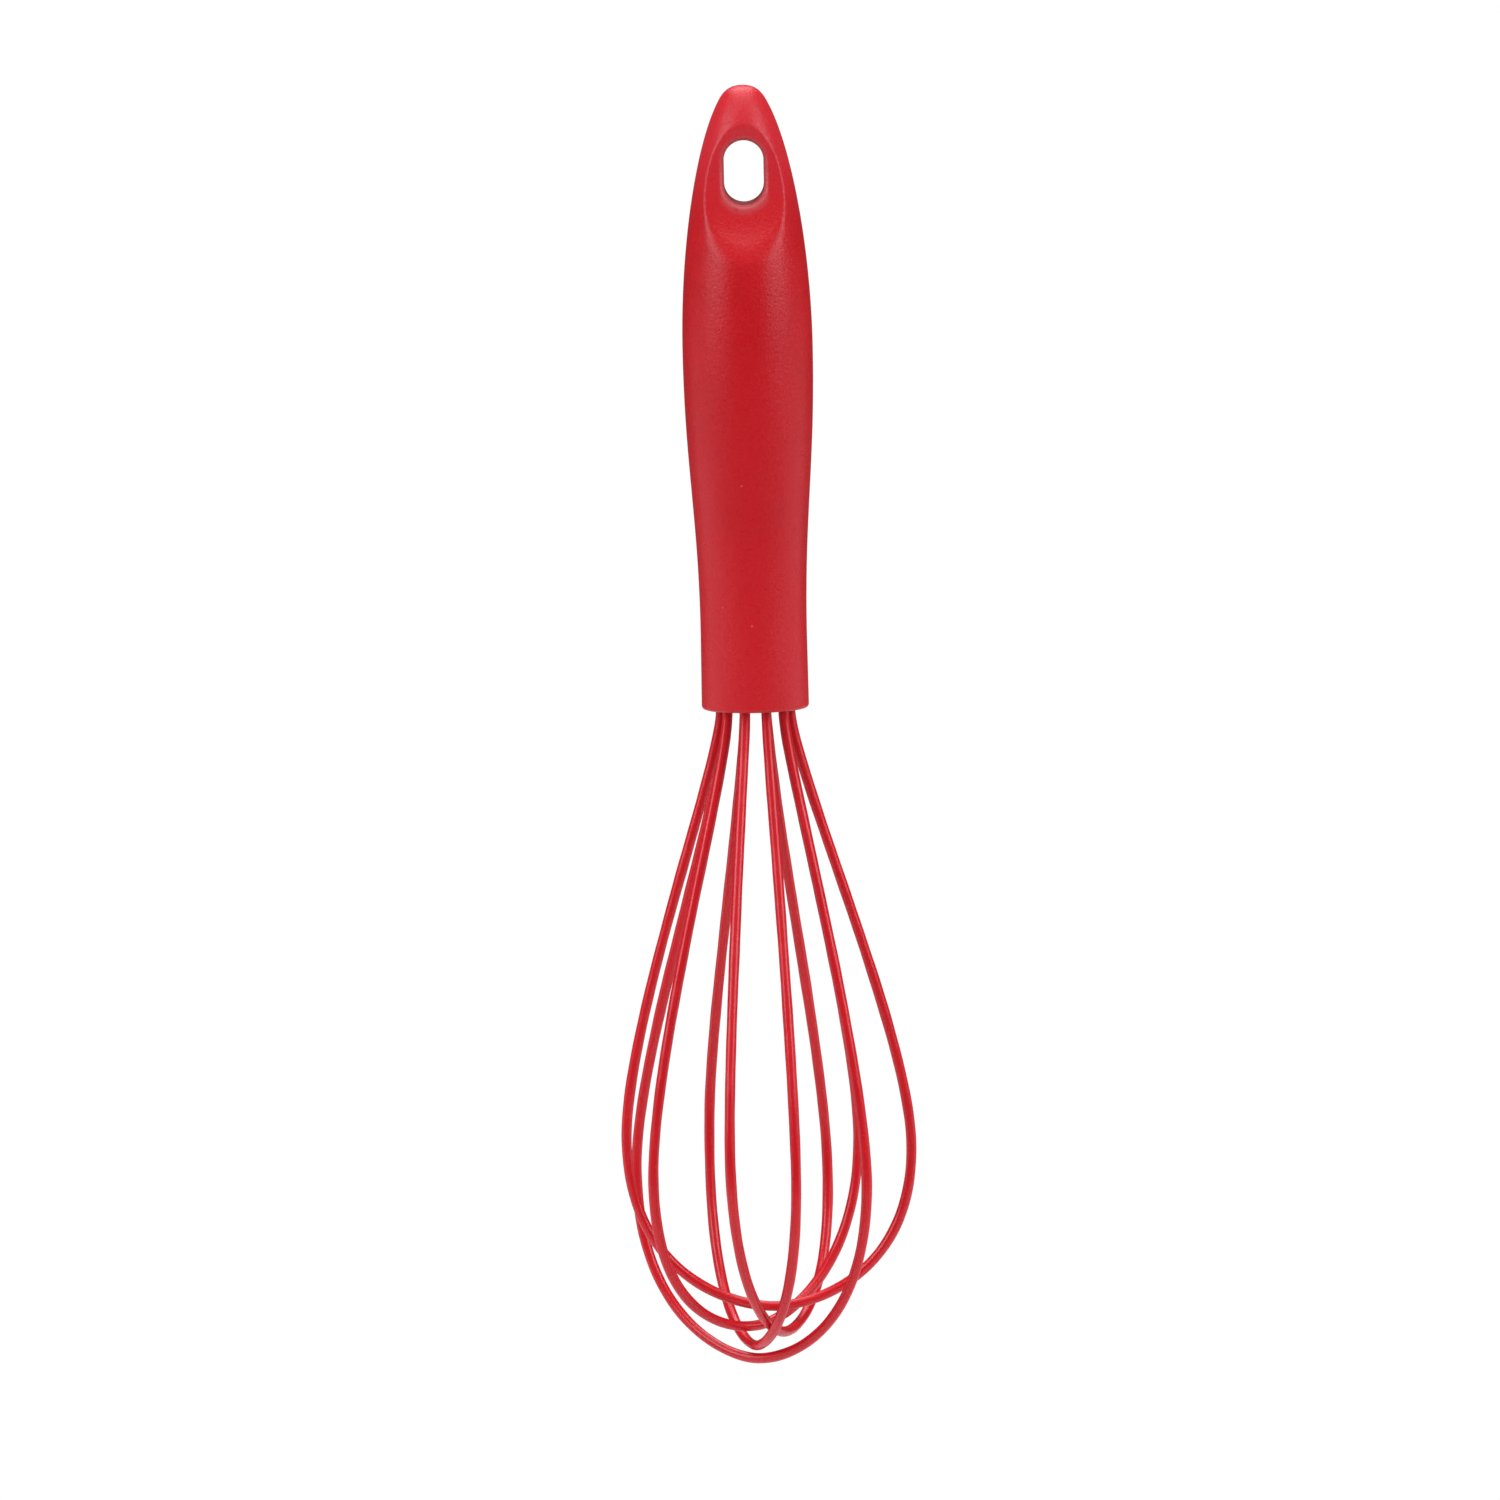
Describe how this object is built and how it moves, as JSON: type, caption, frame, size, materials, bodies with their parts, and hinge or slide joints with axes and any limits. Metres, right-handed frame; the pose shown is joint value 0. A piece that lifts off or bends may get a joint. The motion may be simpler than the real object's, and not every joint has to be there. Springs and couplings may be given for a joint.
{
  "type": "balloon whisk",
  "caption": "Hand whisk with a round moulded handle, a hanging slot through its scooped end, and a balloon cage of sleeved wire loops.",
  "frame": {"origin": "centre of the hanging slot's upper arc, where a peg bears, on the whisk's axis", "axes": "+Z along the whisk's axis towards the handle's tip, as it hangs; +Y through the hanging slot, square to the scooped faces; +X across, to the right when seen along +Y"},
  "size_m": [0.0598, 0.0587, 0.2602],
  "materials": {
    "handle": "satin moulded plastic",
    "plug": "moulded plastic",
    "resin": "cast resin",
    "ring": "bare strip",
    "wire": "drawn spring wire",
    "sleeve": "semi-gloss silicone"
  },
  "bodies": {
    "root": {"handle": "handle", "wire_plug": "plug", "potting_resin": "resin", "wire_ring": "ring", "wire_1": "wire", "wire_2": "wire", "wire_3": "wire", "wire_4": "wire", "wire_5": "wire", "sleeve_1": "sleeve", "sleeve_2": "sleeve", "sleeve_3": "sleeve", "sleeve_4": "sleeve", "sleeve_5": "sleeve"}
  },
  "joints": []
}
